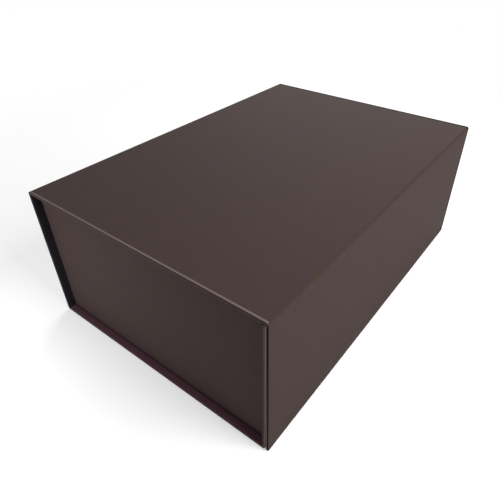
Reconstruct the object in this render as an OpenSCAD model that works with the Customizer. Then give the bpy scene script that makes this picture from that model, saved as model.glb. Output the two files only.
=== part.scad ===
// Collapsible rigid gift box with a magnetic front flap, standing closed.
// Five greyboards lie side by side in one wrapping of cover paper: front wall, base, spine, lid
// and flap. Their facing edges are cut at 45 degrees, so that each fold closes as a mitre. The
// lining is pressed down into each mitre, as far as the cover paper that hinges it.
// Two end walls stand in from the ends of the case, stuck to it by taped tabs.
// Millimetres. X runs along the folds, +Y to the spine, +Z up. The origin is on the ground, at
// the centre of the closed box.

/* [Case] */
// Length of the case along its folds
case_l = 330; // [220:1:420]
// Depth of the lid, from the spine's outer face to the fold of the flap
case_d = 230; // [160:1:320]
// Height of the closed box
case_h = 124; // [80:1:180]

/* [Board and paper] */
// Thickness of the greyboard
board_t = 2; // [1.8:0.1:3]
// Thickness of the cover paper and of the lining paper
paper_t = 0.2; // [0.1:0.05:0.3]
// Outer radius of the cover paper on a fold
fold_r = 2.2; // [0.6:0.1:2.8]
// Width of the cover paper turned in over a free edge
turn_in = 15; // [10:1:20]
// Cover paper left bare between a free edge and the lining
lining_margin = 1.5; // [0.5:0.5:4]

/* [End walls] */
// Distance that each end wall stands in from the end of the case
recess = 6.5; // [3:0.5:15]
// Clearance between the top of the standing walls and the lid
lid_gap = 0.6; // [0.3:0.1:2]
// Width of the tabs that hold an end wall to the front wall and the spine
tab_w = 20; // [16:1:30]
// Rise of the slanting ends of a tab
tab_slant = 7; // [3:1:12]
// Width of the lining strip that hinges an end wall to the base
hinge_strip_w = 18; // [12:1:30]
// Least thickness of the double-sided tape behind a tab
tape_t = 0.15; // [0.1:0.05:0.4]
// Width of the tape
tape_w = 12; // [8:1:13]
// Distance from the tape to the edges of its tab
tape_inset = 1.5; // [1:0.5:2]

/* [Flap] */
// Gap between the front wall and the flap at the fold
flap_gap = 0.2; // [0.1:0.1:2]
// Angle by which the closed flap stands off the front wall
flap_lean = 0.1; // [0:0.1:1.5]
// Height of the flap's free edge above the ground
flap_clearance = 1; // [0.5:0.5:12]

/* [Magnets] */
// Diameter of the magnets in the flap and of the steel discs in the front wall
magnet_d = 12; // [8:0.5:20]
// Thickness of a magnet or disc
magnet_t = 1.2; // [0.8:0.1:1.5]
// Clearance round a magnet in its pocket
magnet_fit = 0.15; // [0.05:0.05:0.4]
// Distance between the centres of the two magnets
magnet_spacing = 170; // [60:5:190]
// Height of the magnets' centres above the flap's free edge
magnet_rise = 20; // [14:1:50]

/* [Hidden] */
$fn = 48;
cover_color = "#574c48";
lining_color = "#3f2931";
board_color = "#8d867c";
steel_color = "#b9bcc0";
tape_color = "#d9d6cb";

// Depths of the layers below the outer face of a panel
board_top = paper_t;
board_under = board_top + board_t;
wall_t = board_under + paper_t;
edge_t = wall_t + paper_t;

half_l = case_l / 2;
flap_foot = flap_clearance;
foot_out = (case_h - flap_foot) * sin(flap_lean);
spine_y = (case_d + foot_out) / 2;
flap_y = spine_y - case_d;
front_y = flap_y + edge_t + flap_gap;
wall_top = case_h - edge_t - lid_gap;
// Depth that every zone of the section reaches in from the outer face
reach = 2 * edge_t;
// Length that a board is cut back along its panel at a mitre, to make room for the lining
mitre_back = paper_t * sqrt(2);
// Lower front corners, in Y and Z, of the outlines that the panels are folded round. The one of
// the lid and the flap lies below the ground, so that the flap runs straight down to its edge
case_corner = [front_y, 0];
cover_corner = [flap_y, -reach];

// A fold turns about the middle of its rounded edge
fold_in = fold_r * (1 - cos(45));
flap_pivot = [0, flap_y + fold_in, case_h - fold_in];

// Planes of the end walls
end_x = half_l - recess;
end_floor = edge_t;
end_front = front_y + edge_t + tape_t;
end_back = spine_y - edge_t - tape_t;
tab_x = end_x - edge_t - tab_w;

magnet_z = flap_foot + magnet_rise;
flap_magnet_y = flap_y + board_under - magnet_t;
// Length by which a cut runs past the face that it opens
overcut = 1;

// Section of the case, drawn in the plane of Y and Z

// Everything inside a closed outline, set in by a depth, with its corners on the same centres
module outline(corner, depth) {
    r = fold_r - depth;
    low = [corner.x + depth, corner.y + depth];
    high = [spine_y - depth, case_h - depth];
    if (r > 0) {
        translate([low.x + r, low.y]) square([high.x - low.x - 2 * r, high.y - low.y]);
        translate([low.x, low.y + r]) square([high.x - low.x, high.y - low.y - 2 * r]);
        for (y = [low.x + r, high.x - r], z = [low.y + r, high.y - r])
            translate([y, z]) circle(r);
    } else {
        translate(low) square(high - low);
    }
}

// The layer between two depths below the outer face, within the zone of its children
module layer(corner, from, to) {
    intersection() {
        difference() {
            outline(corner, from);
            outline(corner, to);
        }
        children();
    }
}

// The zone of each panel, cut back by a length at its mitres

module base_zone(back = 0) {
    polygon([
        [front_y + back, 0], [spine_y - back, 0],
        [spine_y - back - reach, reach], [front_y + back + reach, reach],
    ]);
}

module spine_zone(back = 0) {
    polygon([
        [spine_y, back], [spine_y, case_h - back],
        [spine_y - reach, case_h - back - reach], [spine_y - reach, back + reach],
    ]);
}

module front_zone(top, back = 0) {
    polygon([
        [front_y, back], [front_y + reach, back + reach], [front_y + reach, top], [front_y, top],
    ]);
}

module lid_zone(back = 0) {
    polygon([
        [flap_y + back, case_h], [spine_y - back, case_h],
        [spine_y - back - reach, case_h - reach], [flap_y + back + reach, case_h - reach],
    ]);
}

module flap_zone(foot, back = 0) {
    polygon([
        [flap_y, case_h - back], [flap_y + reach, case_h - back - reach],
        [flap_y + reach, foot], [flap_y, foot],
    ]);
}

module case_zones(back = 0) {
    base_zone(back);
    spine_zone(back);
    front_zone(wall_top, back);
}

// The faces of a zone's mitres, one sheet of paper thick: the first child less the second
module mitre_faces(corner, from = board_top) {
    layer(corner, from, board_under) difference() {
        children(0);
        children(1);
    }
}

// Extrudes a section along X
module along_x(from, to) {
    translate([from, 0, 0]) rotate([90, 0, 90]) linear_extrude(to - from) children();
}

// A sub-part at both ends of the case
module both_ends() {
    children();
    mirror([1, 0, 0]) children();
}

// Left is the end at -X, right the end at +X
module at_end(side) {
    if (side == "left") mirror([1, 0, 0]) children();
    else children();
}

// Layers of a panel or a folded row of panels

// Greyboard in its zone, short of the paper that covers its ends
module board(corner) {
    along_x(-half_l + paper_t, half_l - paper_t)
        layer(corner, board_top, board_under) children();
}

// Cover paper over the outer face and the two ends, turned in at the ends. The strips on the mitres
// start inside the paper of the outer face, so that they are one body with it. The first child is
// the zone of the paper, and the second that of the boards
module wrap(corner) {
    along_x(-half_l, half_l) layer(corner, 0, board_top) children(0);
    both_ends() {
        along_x(half_l - paper_t, half_l) layer(corner, 0, wall_t) children(0);
        along_x(half_l - turn_in, half_l) layer(corner, board_under, wall_t) children(0);
        along_x(half_l - lining_margin, half_l) mitre_faces(corner, board_top / 2) {
            children(0);
            children(1);
        }
    }
}

// Cover paper over a free edge at height edge_z, turned in on the inner face
// Up is 1 where the panel hangs above that edge, and -1 where it stands below it
module wrapped_edge(face_y, edge_z, up) {
    thin = min(edge_z, edge_z + up * paper_t);
    wide = min(edge_z, edge_z + up * turn_in);
    along_x(-half_l, half_l) {
        translate([face_y, thin]) square([wall_t, paper_t]);
        translate([face_y + board_under, wide]) square([paper_t, turn_in]);
    }
}

// Lining on the boards and on the faces of their mitres, lifted over the cover paper turned in
// at the ends. Its children are those of the wrap
module lining(corner) {
    along_x(-half_l + turn_in, half_l - turn_in) layer(corner, board_under, wall_t) children(0);
    along_x(-half_l + lining_margin, half_l - lining_margin) mitre_faces(corner) {
        children(0);
        children(1);
    }
    both_ends() {
        along_x(half_l - turn_in, half_l - lining_margin) layer(corner, wall_t, edge_t) children(0);
        along_x(half_l - turn_in - paper_t, half_l - turn_in)
            layer(corner, board_under, edge_t) children(0);
    }
}

// Makes room for the paper turned in at a free edge, and lifts the lining over it there
module lining_to_edge(face_y, edge_z, up) {
    low = min(edge_z, edge_z + up * turn_in);
    step = min(edge_z + up * turn_in, edge_z + up * (turn_in + paper_t));
    top = min(edge_z + up * lining_margin, edge_z + up * turn_in);
    difference() {
        children();
        along_x(-half_l, half_l) translate([face_y, low]) square([reach, turn_in]);
    }
    along_x(-half_l + lining_margin, half_l - lining_margin) {
        translate([face_y + wall_t, top]) square([paper_t, turn_in - lining_margin]);
        translate([face_y + wall_t, step]) square([paper_t, paper_t]);
    }
    along_x(-half_l + turn_in, half_l - turn_in)
        translate([face_y + board_under, step]) square([2 * paper_t, paper_t]);
}

// A round body on one magnet's axis, on the side -1 or 1, reaching from y over a length along Y
module disc(side, y, d, length) {
    translate([side * magnet_spacing / 2, y, magnet_z])
        rotate([-90, 0, 0]) cylinder(h = length, d = d);
}

// The pockets for a pair of magnets, cut from the face of the board that they lie in
module pockets(y) {
    for (side = [-1, 1]) disc(side, y, magnet_d + 2 * magnet_fit, magnet_t + overcut);
}

// Case: base, spine and front wall

module base_board() {
    color(board_color) board(case_corner) base_zone(mitre_back);
}

module spine_board() {
    color(board_color) board(case_corner) spine_zone(mitre_back);
}

module front_board() {
    color(board_color) difference() {
        board(case_corner) front_zone(wall_top - paper_t, mitre_back);
        pockets(front_y + board_top - overcut);
    }
}

module case_wrap() {
    color(cover_color) {
        wrap(case_corner) {
            case_zones();
            case_zones(mitre_back);
        }
        wrapped_edge(front_y, wall_top, -1);
    }
}

module case_lining() {
    color(lining_color) lining_to_edge(front_y, wall_top, -1) lining(case_corner) {
        case_zones();
        case_zones(mitre_back);
    }
}

module keeper(side) {
    color(steel_color) disc(side, front_y + board_top, magnet_d, magnet_t);
}

// End walls, drawn for the end at +X

module end_board() {
    color(board_color)
        translate([end_x - board_under, end_front + paper_t, end_floor + paper_t])
            cube([board_t, end_back - end_front - 2 * paper_t,
                wall_top - end_floor - 2 * paper_t]);
}

// Outline of a tab in the plane of X and Z, from the end wall's outer face to its free edge
module tab_outline(outer_x, free_x, low, high) {
    root_x = end_x - edge_t;
    polygon([
        [outer_x, low], [root_x, low], [free_x, low + tab_slant],
        [free_x, high - tab_slant], [root_x, high], [outer_x, high],
    ]);
}

// Extrudes an outline in the plane of X and Z along Y
module along_y(from, to) {
    translate([0, to, 0]) rotate([90, 0, 0]) linear_extrude(to - from) children();
}

module end_wrap() {
    size_y = end_back - end_front;
    size_z = wall_top - end_floor;
    color(cover_color) {
        translate([end_x - paper_t, end_front, end_floor]) cube([paper_t, size_y, size_z]);
        for (z = [end_floor, wall_top - paper_t])
            translate([end_x - wall_t, end_front, z]) cube([wall_t, size_y, paper_t]);
        for (z = [end_floor, wall_top - turn_in])
            translate([end_x - wall_t, end_front, z]) cube([paper_t, size_y, turn_in]);
        for (y = [end_front, end_back - paper_t])
            along_y(y, y + paper_t) tab_outline(end_x, tab_x, end_floor, wall_top);
    }
}

module end_lining() {
    low = end_floor + lining_margin;
    high = wall_top - lining_margin;
    from_y = end_front + paper_t;
    size_y = end_back - end_front - 2 * paper_t;
    inner_low = end_floor + turn_in;
    inner_high = wall_top - turn_in;
    strip_x = end_x - edge_t - hinge_strip_w;
    color(lining_color) {
        translate([end_x - wall_t, from_y, inner_low])
            cube([paper_t, size_y, inner_high - inner_low]);
        for (z = [inner_low, inner_high - paper_t])
            translate([end_x - edge_t, from_y, z]) cube([2 * paper_t, size_y, paper_t]);
        translate([end_x - edge_t, from_y, end_floor])
            cube([paper_t, size_y, inner_low - end_floor]);
        translate([end_x - edge_t, from_y, inner_high])
            cube([paper_t, size_y, high - inner_high]);
        for (y = [from_y, from_y + size_y - paper_t])
            along_y(y, y + paper_t)
                tab_outline(end_x - wall_t, tab_x + lining_margin, low, high);
        translate([0, from_y + tab_slant, end_floor]) linear_extrude(paper_t) polygon([
            [end_x - wall_t, 0], [strip_x, tab_slant],
            [strip_x, size_y - 3 * tab_slant], [end_x - wall_t, size_y - 2 * tab_slant],
        ]);
    }
}

// Tape from the lining of the case to a tab. It is thicker where the lining steps down, and
// ends below the cover paper turned in at the top of the front wall
module tape(wall_y, toward) {
    tape_x = tab_x + tape_inset;
    low = end_floor + tab_slant + tape_inset;
    high = wall_top - max(tab_slant + tape_inset, turn_in + paper_t);
    face = wall_y + toward * (edge_t + tape_t);
    step_x = half_l - turn_in - paper_t;
    deep = wall_y + toward * wall_t;
    raised = wall_y + toward * edge_t;
    color(tape_color) translate([0, 0, low]) linear_extrude(high - low) difference() {
        translate([tape_x, min(face, deep)]) square([tape_w, abs(face - deep)]);
        translate([step_x, min(raised, deep)]) square([turn_in, paper_t]);
    }
}

// Lid

module lid_board() {
    color(board_color) board(cover_corner) lid_zone(mitre_back);
}

module lid_wrap() {
    color(cover_color) wrap(cover_corner) {
        lid_zone();
        lid_zone(mitre_back);
    }
}

module lid_lining() {
    color(lining_color) lining(cover_corner) {
        lid_zone();
        lid_zone(mitre_back);
    }
}

// Flap

// Sets the flap at its resting angle, about the fold
module leaning() {
    translate(flap_pivot) rotate([-flap_lean, 0, 0]) translate(-flap_pivot) children();
}

module flap_board() {
    color(board_color) leaning() difference() {
        board(cover_corner) flap_zone(flap_foot + paper_t, mitre_back);
        pockets(flap_magnet_y);
    }
}

module flap_wrap() {
    color(cover_color) leaning() {
        wrap(cover_corner) {
            flap_zone(flap_foot);
            flap_zone(flap_foot, mitre_back);
        }
        wrapped_edge(flap_y, flap_foot, 1);
    }
}

module flap_lining() {
    color(lining_color) leaning() lining_to_edge(flap_y, flap_foot, 1) lining(cover_corner) {
        flap_zone(flap_foot);
        flap_zone(flap_foot, mitre_back);
    }
}

module flap_magnet(side) {
    color(steel_color) leaning() disc(side, flap_magnet_y, magnet_d, magnet_t);
}

base_board();
spine_board();
front_board();
case_wrap();
case_lining();
keeper(-1);  // keeper_left
keeper(1);  // keeper_right
at_end("left") end_board();  // end_board_left
at_end("left") end_wrap();  // end_wrap_left
at_end("left") end_lining();  // end_lining_left
at_end("right") end_board();  // end_board_right
at_end("right") end_wrap();  // end_wrap_right
at_end("right") end_lining();  // end_lining_right
at_end("left") tape(front_y, 1);  // tape_front_left
at_end("left") tape(spine_y, -1);  // tape_back_left
at_end("right") tape(front_y, 1);  // tape_front_right
at_end("right") tape(spine_y, -1);  // tape_back_right
lid_board();
lid_wrap();
lid_lining();
flap_board();
flap_wrap();
flap_lining();
flap_magnet(-1);  // flap_magnet_left
flap_magnet(1);  // flap_magnet_right
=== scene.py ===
"""Looks of a collapsible magnetic gift box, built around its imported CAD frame, in metres.

The sections follow the box as it is put together: greyboards, steel discs, cover paper, lining,
end walls and tape. The camera and the studio come first.
"""

from math import cos, radians, sin

import bmesh
import bpy
from mathutils import Matrix, Vector


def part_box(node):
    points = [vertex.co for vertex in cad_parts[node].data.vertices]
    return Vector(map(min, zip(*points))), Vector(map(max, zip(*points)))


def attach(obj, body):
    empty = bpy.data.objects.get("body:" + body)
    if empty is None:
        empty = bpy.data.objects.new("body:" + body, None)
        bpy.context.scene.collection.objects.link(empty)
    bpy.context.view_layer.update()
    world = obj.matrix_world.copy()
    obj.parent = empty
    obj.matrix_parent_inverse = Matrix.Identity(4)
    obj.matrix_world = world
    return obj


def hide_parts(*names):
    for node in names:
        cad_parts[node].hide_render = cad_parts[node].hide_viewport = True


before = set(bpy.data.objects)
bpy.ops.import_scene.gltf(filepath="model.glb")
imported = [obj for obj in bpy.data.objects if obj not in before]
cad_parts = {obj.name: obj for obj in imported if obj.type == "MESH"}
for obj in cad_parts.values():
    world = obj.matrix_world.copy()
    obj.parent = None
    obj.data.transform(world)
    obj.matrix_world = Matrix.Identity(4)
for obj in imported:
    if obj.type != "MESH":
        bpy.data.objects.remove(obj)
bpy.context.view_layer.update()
MM = 0.001

# Camera, where the photograph was taken from: close to the near left corner and above the lid.
# Its place and turn were fitted to the corners of the box that the photograph shows.

PHOTO_PX = 500
FOCAL_PX = 458.83
CENTRE_PX = (265.42, 241.02)
SENSOR_MM = 36
CAMERA_AZIMUTH, CAMERA_ELEVATION, CAMERA_ROLL = -52.83, 36.119, -0.161
CAMERA_PLACE = Vector((-299.30, -214.97, 299.82)) * MM


def away_from_front(turn, rise):
    """The direction at an azimuth round from the front, and an elevation, both in degrees."""
    turn, rise = radians(turn), radians(rise)
    return Vector((sin(turn) * cos(rise), -cos(turn) * cos(rise), sin(rise)))


def looking_back(outward):
    """The turn of a camera or lamp that looks back along an outward direction."""
    return (-outward).to_track_quat("-Z", "Y").to_matrix().to_4x4()


camera = bpy.data.objects.new("camera", bpy.data.cameras.new("camera"))
bpy.context.scene.collection.objects.link(camera)
bpy.context.scene.camera = camera
camera.data.sensor_width = SENSOR_MM
camera.data.lens = FOCAL_PX / PHOTO_PX * SENSOR_MM
camera.data.shift_x = (PHOTO_PX / 2 - CENTRE_PX[0]) / PHOTO_PX
camera.data.shift_y = (CENTRE_PX[1] - PHOTO_PX / 2) / PHOTO_PX
camera.data.clip_start = 0.01
camera.matrix_world = (
    Matrix.Translation(CAMERA_PLACE)
    @ looking_back(away_from_front(CAMERA_AZIMUTH, CAMERA_ELEVATION))
    @ Matrix.Rotation(radians(CAMERA_ROLL), 4, "Z")
)


# Studio: a pale seamless floor, a white surround and four soft lamps. The lamps stand so that
# each face of the box is lightest at the end that lies far from the camera.

def linear(hex_colour):
    """The linear colour, with alpha, of an sRGB hex value."""
    shares = [int(hex_colour[i:i + 2], 16) / 255 for i in (1, 3, 5)]
    return tuple(
        s / 12.92 if s <= 0.04045 else ((s + 0.055) / 1.055) ** 2.4 for s in shares
    ) + (1.0,)


def add(tree, kind, links=(), inputs=(), **settings):
    """Adds a node, with its settings, the values of its inputs and the sockets linked to them."""
    node = tree.nodes.new(kind)
    for name, value in settings.items():
        setattr(node, name, value)
    for socket, value in dict(inputs).items():
        node.inputs[socket].default_value = value
    for socket, source in dict(links).items():
        tree.links.new(source, node.inputs[socket])
    return node


def new_material(name):
    """An empty node material and its tree."""
    material = bpy.data.materials.new(name)
    material.use_nodes = True
    material.node_tree.nodes.clear()
    return material, material.node_tree


FLOOR_COLOUR = "#f0f0f0"
FLOOR_SIZE = 60.0
FLOOR_GLOW = 0.42
# Distances from the box's centre, in metres, at which the floor's fade to white starts and ends
FADE_START, FADE_END = 0.15, 0.75
SURROUND_LIGHT = 0.13
LAMP_TARGET = Vector((0, 0, 60)) * MM
LAMPS = {
    # name: azimuth and elevation in degrees, distance and size of a square soft box in metres,
    # and its power in watts
    "softbox_front": (0, 40, 0.9, 0.5, 6.8),
    "softbox_far_right": (120, 40, 0.9, 0.5, 3.1),
    "softbox_right": (90, 30, 0.7, 0.35, 0.48),
    "softbox_far_left": (252, 7, 0.4, 0.08, 0.28),
}

scene = bpy.context.scene
scene.view_settings.view_transform = "Standard"

floor_paint, tree = new_material("matt_white_studio_sweep")
path = add(tree, "ShaderNodeLightPath")
place = add(tree, "ShaderNodeTexCoord")
away = add(tree, "ShaderNodeVectorMath", {"Vector": place.outputs["Object"]}, operation="LENGTH")
fade = add(tree, "ShaderNodeMapRange", {"Value": away.outputs["Value"]}, {
    "From Min": FADE_START, "From Max": FADE_END, "To Min": 0, "To Max": 1,
}, interpolation_type="SMOOTHSTEP")
matt = add(tree, "ShaderNodeBsdfDiffuse", inputs={"Color": linear(FLOOR_COLOUR)})
glow = add(tree, "ShaderNodeEmission", inputs={"Color": linear("#ffffff"), "Strength": FLOOR_GLOW})
lifted = add(tree, "ShaderNodeAddShader", {0: matt.outputs[0], 1: glow.outputs[0]})
white = add(tree, "ShaderNodeEmission", inputs={"Color": linear("#ffffff"), "Strength": 1.0})
seamless = add(tree, "ShaderNodeMixShader", {
    0: fade.outputs[0], 1: lifted.outputs[0], 2: white.outputs[0],
})
seen = add(tree, "ShaderNodeMixShader", {
    0: path.outputs["Is Camera Ray"], 1: matt.outputs[0], 2: seamless.outputs[0],
})
add(tree, "ShaderNodeOutputMaterial", {"Surface": seen.outputs[0]})

half = FLOOR_SIZE / 2
floor_mesh = bpy.data.meshes.new("floor")
floor_mesh.from_pydata(
    [(-half, -half, 0), (half, -half, 0), (half, half, 0), (-half, half, 0)], [], [(0, 1, 2, 3)]
)
floor_mesh.materials.append(floor_paint)
floor = bpy.data.objects.new("floor", floor_mesh)
scene.collection.objects.link(floor)

world = bpy.data.worlds.new("white_surround")
world.use_nodes = True
world.node_tree.nodes.clear()
tree = world.node_tree
path = add(tree, "ShaderNodeLightPath")
shown = add(tree, "ShaderNodeMath", {
    0: path.outputs["Is Camera Ray"], 1: path.outputs["Is Transmission Ray"],
}, operation="MAXIMUM")
shown = add(tree, "ShaderNodeMath", {
    0: shown.outputs[0], 1: path.outputs["Is Glossy Ray"],
}, operation="MAXIMUM")
strength = add(tree, "ShaderNodeMix", {"Factor": shown.outputs[0]},
               {"A": SURROUND_LIGHT, "B": 1.0})
surround = add(tree, "ShaderNodeBackground", {"Strength": strength.outputs[0]},
               {"Color": linear("#ffffff")})
add(tree, "ShaderNodeOutputWorld", {"Surface": surround.outputs[0]})
scene.world = world

for name, (turn, rise, distance, size, power) in LAMPS.items():
    data = bpy.data.lights.new(name, "AREA")
    data.shape = "SQUARE"
    data.size = size
    data.energy = power
    lamp = bpy.data.objects.new(name, data)
    outward = away_from_front(turn, rise)
    lamp.matrix_world = (
        Matrix.Translation(LAMP_TARGET + outward * distance) @ looking_back(outward)
    )
    lamp.visible_camera = False
    scene.collection.objects.link(lamp)


# Greyboards: seven panels of 2 mm grey recycled board. Those of the case are cut with a 45 degree
# bevel at each fold. They stay as the frame has them, since paper covers all of them.

def object_coordinates(tree, scale=(1, 1, 1)):
    """The object's own coordinates, stretched by a factor along each axis."""
    place = add(tree, "ShaderNodeTexCoord")
    return add(tree, "ShaderNodeMapping", {"Vector": place.outputs["Object"]},
               {"Scale": scale}).outputs[0]


def noise(tree, vector, grain_mm, detail=2.0):
    """Noise from 0 to 1 whose blotches are about one grain wide."""
    return add(tree, "ShaderNodeTexNoise", {"Vector": vector}, {
        "Scale": 1 / (grain_mm * MM), "Detail": detail, "Roughness": 0.5,
    }).outputs["Fac"]


def spread(tree, value, low, high, to_low, to_high):
    """A value taken from one range to another, and held at the ends."""
    return add(tree, "ShaderNodeMapRange", {"Value": value}, {
        "From Min": low, "From Max": high, "To Min": to_low, "To Max": to_high,
    }, interpolation_type="LINEAR").outputs[0]


def mix_colour(tree, factor, first, second):
    """Two colours mixed by a factor. Each is a hex value or a socket."""
    node = add(tree, "ShaderNodeMix", {"Factor": factor}, data_type="RGBA")
    for socket, colour in ((node.inputs[6], first), (node.inputs[7], second)):
        if isinstance(colour, str):
            socket.default_value = linear(colour)
        else:
            tree.links.new(colour, socket)
    return node.outputs[2]


def bump(tree, height, depth_mm, normal=None):
    """A bump of a height from 0 to 1, at most depth_mm high."""
    links = {"Height": height}
    if normal is not None:
        links["Normal"] = normal
    return add(tree, "ShaderNodeBump", links, {
        "Strength": 1.0, "Distance": depth_mm * MM,
    }).outputs[0]


def greyboard():
    """Recycled greyboard: dull grey-brown pulp with darker fibres, quite rough."""
    material, tree = new_material("recycled_greyboard")
    place = object_coordinates(tree)
    pulp = noise(tree, place, 3.0, detail=6.0)
    fibres = noise(tree, object_coordinates(tree, (1, 3, 3)), 0.8, detail=3.0)
    colour = mix_colour(tree, spread(tree, pulp, 0.35, 0.65, 0, 1), "#867f75", "#96907f")
    colour = mix_colour(tree, spread(tree, fibres, 0.62, 0.70, 0, 0.5), colour, "#5f5a52")
    shader = add(tree, "ShaderNodeBsdfPrincipled", {
        "Base Color": colour, "Normal": bump(tree, pulp, 0.05),
    }, {"Roughness": 0.9})
    add(tree, "ShaderNodeOutputMaterial", {"Surface": shader.outputs[0]})
    return material


def finish_node(name, material):
    """Gives a node of the frame its material."""
    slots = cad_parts[name].data.materials
    slots.clear()
    slots.append(material)


board_finish = greyboard()
for board in ("base_board", "spine_board", "front_board", "lid_board", "flap_board",
              "end_board_left", "end_board_right"):
    finish_node(board, board_finish)


# Closure: two magnets glued into pockets in the flap's board, under the lining, and two steel
# discs in pockets in the front wall, under its cover paper. Bright zinc on a ground face.

def zinc_plated_steel():
    """Bright zinc plating: pale blue-grey metal with the fine lines of a ground face."""
    material, tree = new_material("zinc_plated_steel")
    lines = noise(tree, object_coordinates(tree, (1, 8, 8)), 0.4, detail=2.0)
    shader = add(tree, "ShaderNodeBsdfPrincipled", {
        "Base Color": mix_colour(tree, lines, "#aeb4bb", "#c4c8cc"),
        "Roughness": spread(tree, lines, 0.3, 0.7, 0.28, 0.42),
        "Normal": bump(tree, lines, 0.01),
    }, {"Metallic": 1.0})
    add(tree, "ShaderNodeOutputMaterial", {"Surface": shader.outputs[0]})
    return material


steel_finish = zinc_plated_steel()
for disc in ("keeper_left", "keeper_right", "flap_magnet_left", "flap_magnet_right"):
    finish_node(disc, steel_finish)


# Cover paper: art paper laminated with a matt film, glued over the boards' outer faces and turned
# in over their edges, where it turns a soft corner. On the box it is one sheet. The film is brown
# along the lid's folds. It carries a painted highlight on the lid's left edge, and painted shade
# on the right one and along other edges and ends.

BOARD_EDGE_RADIUS = 0.35 * MM
BEVEL_STEPS = 4
PLANE_TOLERANCE = 0.06 * MM
MERGE_DISTANCE = 0.001 * MM
# Faces that meet below the first angle merge. Edges above the second are rounded, and those
# above the third stay sharp.
FLAT_ANGLE = radians(1)
RIM_ANGLE = radians(60)
SHARP_ANGLE = radians(40)


def merged_copy(node):
    """A bmesh of a node of the frame, with its triangles merged into whole faces."""
    shape = bmesh.new()
    shape.from_mesh(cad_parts[node].data)
    bmesh.ops.remove_doubles(shape, verts=shape.verts, dist=MERGE_DISTANCE)
    bmesh.ops.dissolve_limit(
        shape, angle_limit=FLAT_ANGLE, verts=shape.verts, edges=shape.edges
    )
    return shape


def soften_rims(shape, planes, radius):
    """Rounds the outward edges that lie in planes, each an axis number and a place on it."""
    edges = [
        edge for edge in shape.edges
        if edge.is_manifold
        and edge.calc_face_angle_signed() > RIM_ANGLE
        and any(
            all(abs(v.co[axis] - place) < PLANE_TOLERANCE for v in edge.verts)
            for axis, place in planes
        )
    ]
    bmesh.ops.bevel(
        shape, geom=edges, offset=radius, segments=BEVEL_STEPS, profile=0.5, affect="EDGES",
        clamp_overlap=True,
    )


def make_piece(name, shape, material, body, slot, *nodes):
    """Turns a bmesh into a smooth-shaded piece that rides on a body and stands for nodes."""
    mesh = bpy.data.meshes.new(name)
    shape.to_mesh(mesh)
    shape.free()
    mesh.shade_smooth()
    mesh.set_sharp_from_angle(angle=SHARP_ANGLE)
    mesh.materials.append(material)
    piece = bpy.data.objects.new(name, mesh)
    scene.collection.objects.link(piece)
    weighted = piece.modifiers.new("even_normals", "WEIGHTED_NORMAL")
    weighted.keep_sharp = True
    bpy.context.view_layer.update()
    evaluated = piece.evaluated_get(bpy.context.evaluated_depsgraph_get())
    piece.data = bpy.data.meshes.new_from_object(evaluated)
    piece.data.name = name
    piece.modifiers.clear()
    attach(piece, body)
    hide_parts(*nodes)


def combine(tree, operation, *values):
    """Values, each a socket or a number, put together by a Math operation."""
    links = {i: v for i, v in enumerate(values) if not isinstance(v, (int, float))}
    inputs = {i: v for i, v in enumerate(values) if isinstance(v, (int, float))}
    return add(tree, "ShaderNodeMath", links, inputs, operation=operation).outputs[0]


half_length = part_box("lid_wrap")[1].x
spine_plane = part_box("case_wrap")[1].y
flap_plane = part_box("flap_wrap")[0].y
top_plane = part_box("lid_wrap")[1].z
flap_foot_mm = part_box("flap_wrap")[0].z / MM


def depths(tree):
    """How far in each place lies from each face of the closed box, in mm."""
    x, y, z = add(tree, "ShaderNodeSeparateXYZ", {"Vector": object_coordinates(tree)}).outputs
    depth = {
        "left": combine(tree, "MULTIPLY_ADD", x, 1 / MM, half_length / MM),
        "right": combine(tree, "MULTIPLY_ADD", x, -1 / MM, half_length / MM),
        "front": combine(tree, "MULTIPLY_ADD", y, 1 / MM, -flap_plane / MM),
        "back": combine(tree, "MULTIPLY_ADD", y, -1 / MM, spine_plane / MM),
        "top": combine(tree, "MULTIPLY_ADD", z, -1 / MM, top_plane / MM),
        "foot": combine(tree, "MULTIPLY", z, 1 / MM),
    }
    depth["end"] = combine(tree, "MINIMUM", depth["left"], depth["right"])
    return depth


def mark(tree, ground, depth, colour, blur_mm, spans):
    """Lays a colour over a ground where each depth in spans lies between its two limits."""
    inside = None
    for face, (least, most) in spans.items():
        share = combine(
            tree, "MINIMUM",
            spread(tree, depth[face], least - blur_mm, least + blur_mm, 0, 1),
            spread(tree, depth[face], most - blur_mm, most + blur_mm, 1, 0),
        )
        inside = share if inside is None else combine(tree, "MINIMUM", inside, share)
    return mix_colour(tree, inside, ground, colour)


def lay_marks(tree, ground, marks):
    """Lays a table of marks over a ground, each over the ones before it."""
    depth = depths(tree)
    for colour, blur_mm, spans in marks:
        ground = mark(tree, ground, depth, colour, blur_mm, spans)
    return ground


FOLD_BROWN = "#453731"
# A painted highlight along the lid's left rim
PAINTED_LEFT_RIM_HIGHLIGHT = "#7a6c69"
# Painted shade under edges: along the flap's foot and just under the lid's left rim
PAINTED_EDGE_SHADE = "#3b302d"
# Painted shade along the far right end of the box
PAINTED_FAR_END_SHADE = "#201a18"
# A faint painted light line low on the lid's end face
PAINTED_UNDEREDGE_LIGHT = "#514543"
# Painted highlight on the end faces of the flap's inner part and of the front wall
PAINTED_FRONT_END_HIGHLIGHT = "#8a7b7c"
# Painted shadow on the outer part of the flap's end face, in the gap by the front wall
PAINTED_FLAP_END_SHADOW = "#1c1112"
# Painted shade along the foot of the box's ends
PAINTED_FOOT_SHADE = "#241c1e"
LINING_AT_BASE = "#5f434b"
# Near-black painted shade for the spine's end and its lining
PAINTED_SPINE_SHADE = "#332f35"
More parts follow.
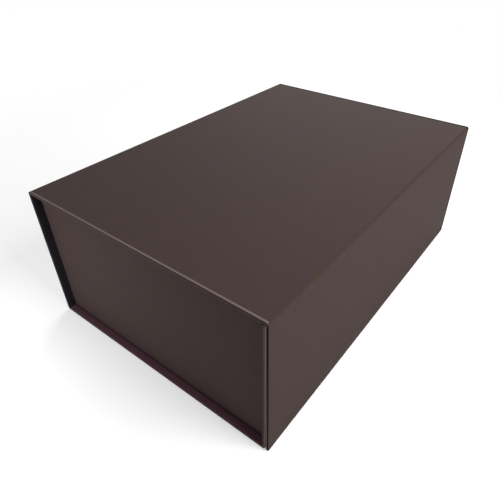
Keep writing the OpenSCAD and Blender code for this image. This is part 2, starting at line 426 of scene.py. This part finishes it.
# A depth outside the face that it is measured from, and one past the whole box
OUT, PAST = -1, 400
COVER_MARKS = [
    # colour, blur in mm, and the depths in mm between which it lies
    (FOLD_BROWN, 0.4, {"front": (OUT, 2.2), "top": (OUT, 1.8)}),
    (FOLD_BROWN, 0.4, {"back": (OUT, 2.2), "top": (OUT, 1.8)}),
    # Painted shade along the far right end of the box
    (PAINTED_FAR_END_SHADE, 0.4, {"right": (OUT, 3.0)}),
    # Painted shade along the flap's foot
    (PAINTED_EDGE_SHADE, 0.3, {"front": (OUT, 0.5), "foot": (OUT, flap_foot_mm + 0.8)}),
    # Painted highlight on the lid's left rim, with painted shade just under it
    (PAINTED_LEFT_RIM_HIGHLIGHT, 0.3, {"left": (0.25, 1.6), "top": (OUT, 0.5)}),
    (PAINTED_EDGE_SHADE, 0.2, {"left": (OUT, 0.2), "top": (0.2, 0.9)}),
    # A faint painted light line low on the lid's end face
    (PAINTED_UNDEREDGE_LIGHT, 0.2, {"end": (OUT, 0.3), "top": (1.4, 2.3)}),
    # Painted highlight on the end faces of the flap's inner part and of the front wall
    (PAINTED_FRONT_END_HIGHLIGHT, 0.1, {"end": (OUT, 0.6), "front": (1.6, 3.3), "top": (3, PAST)}),
    # Painted shadow on the outer part of the flap's end face
    (PAINTED_FLAP_END_SHADOW, 0.15, {"end": (OUT, 0.4), "front": (0.1, 1.6), "top": (2, PAST)}),
    (LINING_AT_BASE, 0.1, {"end": (OUT, 1.6), "foot": (0.9, 3.2), "front": (4, PAST)}),
    # Painted shade along the foot of the box's ends
    (PAINTED_FOOT_SHADE, 0.1, {"end": (OUT, 0.8), "foot": (OUT, 1.0)}),
    # Near-black painted shade on the spine board's end
    (PAINTED_SPINE_SHADE, 0.1, {"end": (OUT, 1.6), "back": (OUT, 3.4), "top": (3, PAST)}),
]


def matt_laminated_paper():
    """Matt film on dark brown art paper: very low gloss, faintly mottled, finely pebbled."""
    material, tree = new_material("matt_laminated_art_paper")
    place = object_coordinates(tree)
    mottle = noise(tree, place, 9.0, detail=4.0)
    pebble = noise(tree, place, 0.5, detail=2.0)
    colour = mix_colour(tree, spread(tree, mottle, 0.3, 0.7, 0, 1), "#473b39", "#493d3b")
    colour = lay_marks(tree, colour, COVER_MARKS)
    film = bump(tree, pebble, 0.012)
    swell = bump(tree, noise(tree, place, 14.0, detail=1.0), 0.02, normal=film)
    shader = add(tree, "ShaderNodeBsdfPrincipled", {
        "Base Color": colour, "Normal": swell,
    }, {"Roughness": 0.7, "IOR": 1.5, "Specular IOR Level": 0.06})
    add(tree, "ShaderNodeOutputMaterial", {"Surface": shader.outputs[0]})
    return material


cover_finish = matt_laminated_paper()
end_planes = [(0, -half_length), (0, half_length)]
wall_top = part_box("end_wrap_left")[1].z
flap_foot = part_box("flap_wrap")[0].z

shape = merged_copy("case_wrap")
soften_rims(shape, [*end_planes, (2, wall_top)], BOARD_EDGE_RADIUS)
make_piece("case_cover_paper", shape, cover_finish, "tray", "cover_paper", "case_wrap")

shape = merged_copy("lid_wrap")
soften_rims(shape, end_planes, BOARD_EDGE_RADIUS)
make_piece("lid_cover_paper", shape, cover_finish, "lid", "cover_paper", "lid_wrap")

shape = merged_copy("flap_wrap")
soften_rims(shape, [*end_planes, (2, flap_foot)], BOARD_EDGE_RADIUS)
make_piece("flap_cover_paper", shape, cover_finish, "flap", "cover_paper", "flap_wrap")


# Lining: dyed uncoated paper, glued inside over the boards and over the cover paper turned in.
# It stops 1.5 mm short of the edges, and is lifted where it runs over the cover paper. Outside
# the end walls it carries painted shade: near black on the spine, and dark in the corner at the
# foot of each wall.

# Painted shade for the corner at the foot of each end wall
PAINTED_WALL_FOOT_SHADE = "#46303a"
LINING_MARKS = [
    # Near-black painted shade on the spine's lining outside the end walls
    (PAINTED_SPINE_SHADE, 0.1, {"end": (OUT, 6.6), "back": (OUT, 3.4), "top": (3, PAST)}),
    # Painted shade in the corner at the foot of each end wall
    (PAINTED_WALL_FOOT_SHADE, 0.2, {"end": (4.9, 6.6), "foot": (OUT, 4)}),
]


def lining_paper():
    """Uncoated aubergine paper, dyed through: matt, with fine fibres lying every way."""
    material, tree = new_material("dyed_uncoated_paper")
    place = object_coordinates(tree)
    cloud = noise(tree, place, 6.0, detail=5.0)
    fibres = noise(tree, object_coordinates(tree, (1, 4, 4)), 1.2, detail=3.0)
    colour = mix_colour(tree, spread(tree, cloud, 0.3, 0.7, 0, 1), "#5d404a", "#63454f")
    colour = mix_colour(tree, spread(tree, fibres, 0.58, 0.72, 0, 0.35), colour, "#694b55")
    colour = lay_marks(tree, colour, LINING_MARKS)
    shader = add(tree, "ShaderNodeBsdfPrincipled", {
        "Base Color": colour, "Normal": bump(tree, fibres, 0.02),
    }, {"Roughness": 0.85, "IOR": 1.45, "Specular IOR Level": 0.1})
    add(tree, "ShaderNodeOutputMaterial", {"Surface": shader.outputs[0]})
    return material


lining_finish = lining_paper()
for part, body in (("case", "tray"), ("lid", "lid"), ("flap", "flap")):
    shape = merged_copy(f"{part}_lining")
    make_piece(f"{part}_lining_paper", shape, lining_finish, body, "lining_paper",
               f"{part}_lining")


# End walls: a board in cover paper on the outside and lining inside. Both papers run on as tabs
# that are taped to the front wall and the spine, and the lining runs on as a hinge to the base.

for side in ("left", "right"):
    low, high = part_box(f"end_wrap_{side}")
    outer_x = low.x if side == "left" else high.x
    shape = merged_copy(f"end_wrap_{side}")
    soften_rims(shape, [(0, outer_x), (2, high.z)], BOARD_EDGE_RADIUS)
    make_piece(f"end_cover_{side}", shape, cover_finish, "tray", "cover_paper",
               f"end_wrap_{side}")
    shape = merged_copy(f"end_lining_{side}")
    make_piece(f"end_lining_paper_{side}", shape, lining_finish, "tray", "lining_paper",
               f"end_lining_{side}")


# Tape: strips of double-sided tissue tape that hold the tabs. It shows only at the tabs' edges.

def tissue_tape():
    """Double-sided tissue tape: cream, slightly glossy glue over a fibrous carrier."""
    material, tree = new_material("double_sided_tissue_tape")
    fibres = noise(tree, object_coordinates(tree, (2, 2, 1)), 1.0, detail=4.0)
    shader = add(tree, "ShaderNodeBsdfPrincipled", {
        "Base Color": mix_colour(tree, fibres, "#d3cfc2", "#e0ddd3"),
        "Normal": bump(tree, fibres, 0.03),
    }, {"Roughness": 0.4})
    add(tree, "ShaderNodeOutputMaterial", {"Surface": shader.outputs[0]})
    return material


tape_finish = tissue_tape()
for wall in ("front", "back"):
    for side in ("left", "right"):
        finish_node(f"tape_{wall}_{side}", tape_finish)
